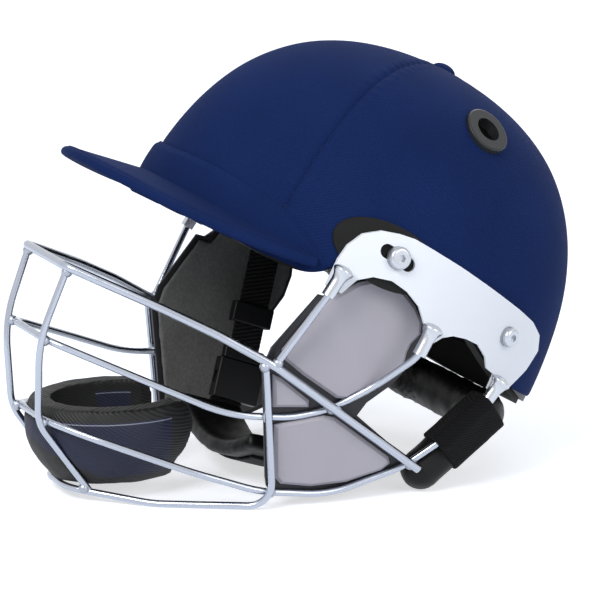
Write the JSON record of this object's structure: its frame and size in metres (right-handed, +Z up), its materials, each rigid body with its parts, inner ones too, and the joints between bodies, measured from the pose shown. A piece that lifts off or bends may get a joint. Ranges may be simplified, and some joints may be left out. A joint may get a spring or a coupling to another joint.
{
  "type": "cricket helmet",
  "caption": "Cloth-covered hard-shell batting helmet with a peak, a welded wire face grille, cheek panels, a padded neck roll and a chin strap with a cup.",
  "frame": {"origin": "on the floor plane under the middle of the helmet's bounding box, as it lies on its grille", "axes": "+X towards the wearer's left, +Y towards the back, +Z up; the helmet is tipped back 29 degrees about X"},
  "size_m": [0.2316, 0.3318, 0.2439],
  "materials": {
    "navy_cloth": "fine diagonal weave",
    "guard_cloth": "ribbed navy cloth",
    "dark_lining": "matte green-black cloth",
    "shell_plastic": "matte",
    "stiffener": "matte",
    "liner_foam": "matte moulded foam",
    "pad_cloth": "brushed cloth over foam",
    "grommet_black": "satin",
    "white_plate": "satin white",
    "rubber_black": "matte",
    "bright_steel": "polished",
    "weld_steel": "rough weld",
    "cheek_plastic": "satin grey",
    "cheek_lining": "brushed grey",
    "leatherette": "soft satin",
    "hook_loop": "ribbed hook and loop",
    "webbing": "ribbed webbing",
    "buckle_plastic": "satin"
  },
  "bodies": {
    "helmet": {"cover_front": "navy_cloth", "cover_left": "navy_cloth", "cover_right": "navy_cloth", "cover_brow": "navy_cloth", "peak_cover": "navy_cloth", "top_button": "navy_cloth", "neck_guard": "guard_cloth", "under_peak_lining": "dark_lining", "hard_shell": "shell_plastic", "peak_core": "stiffener", "impact_liner": "liner_foam", "brow_pad": "pad_cloth", "side_pad_left": "pad_cloth", "side_pad_right": "pad_cloth", "rear_pad": "pad_cloth", "crown_pad": "pad_cloth", "vent_grommets": "grommet_black", "side_plate_left": "white_plate", "side_plate_right": "white_plate", "plate_pads": "rubber_black", "front_screws": "bright_steel", "rear_screws": "bright_steel", "sockets_left": "bright_steel", "sockets_right": "bright_steel", "top_bar": "bright_steel", "middle_bar": "bright_steel", "lower_bar": "bright_steel", "bottom_rail": "bright_steel", "front_upright_left": "bright_steel", "front_upright_right": "bright_steel", "front_stay_left": "bright_steel", "front_stay_right": "bright_steel", "weld_beads": "weld_steel", "washers": "weld_steel", "shell_inserts": "weld_steel", "strap_rivets": "weld_steel", "cheek_panel_left": "cheek_plastic", "cheek_panel_right": "cheek_plastic", "cheek_lining_left": "cheek_lining", "cheek_lining_right": "cheek_lining", "neck_roll": "leatherette", "wrap_left": "hook_loop", "wrap_right": "hook_loop"},
    "chin_strap": {"strap_webbing_left": "webbing", "strap_webbing_right": "webbing", "buckle_female": "buckle_plastic", "buckle_male": "buckle_plastic", "chin_cup": "leatherette", "cup_webbing": "webbing"},
    "slider": {"strap_slider": "buckle_plastic"},
    "prong_front": {"buckle_prong_front": "buckle_plastic"},
    "prong_rear": {"buckle_prong_rear": "buckle_plastic"}
  },
  "joints": [
    {"name": "chin_strap_swing", "type": "hinge", "parent": "helmet", "child": "chin_strap", "pos_m": [0, 0.02621, 0.13597], "axis": [1, 0, 0], "range_deg": [-5, 30]},
    {"name": "slider_shift", "type": "slide", "parent": "chin_strap", "child": "slider", "axis": [-0.2366, 0.3364, 0.9115], "range_m": [-0.008, 0.025]},
    {"name": "prong_front_squeeze", "type": "hinge", "parent": "chin_strap", "child": "prong_front", "pos_m": [-0.06094, -0.01444, 0.04963], "axis": [0.971, 0.116, 0.2093], "range_deg": [0, 7], "stiffness_Nm_per_rad": 0.05},
    {"name": "prong_rear_squeeze", "type": "hinge", "parent": "chin_strap", "child": "prong_rear", "pos_m": [-0.06152, 0.00098, 0.04378], "axis": [-0.971, -0.116, -0.2093], "range_deg": [0, 7], "stiffness_Nm_per_rad": 0.05}
  ]
}
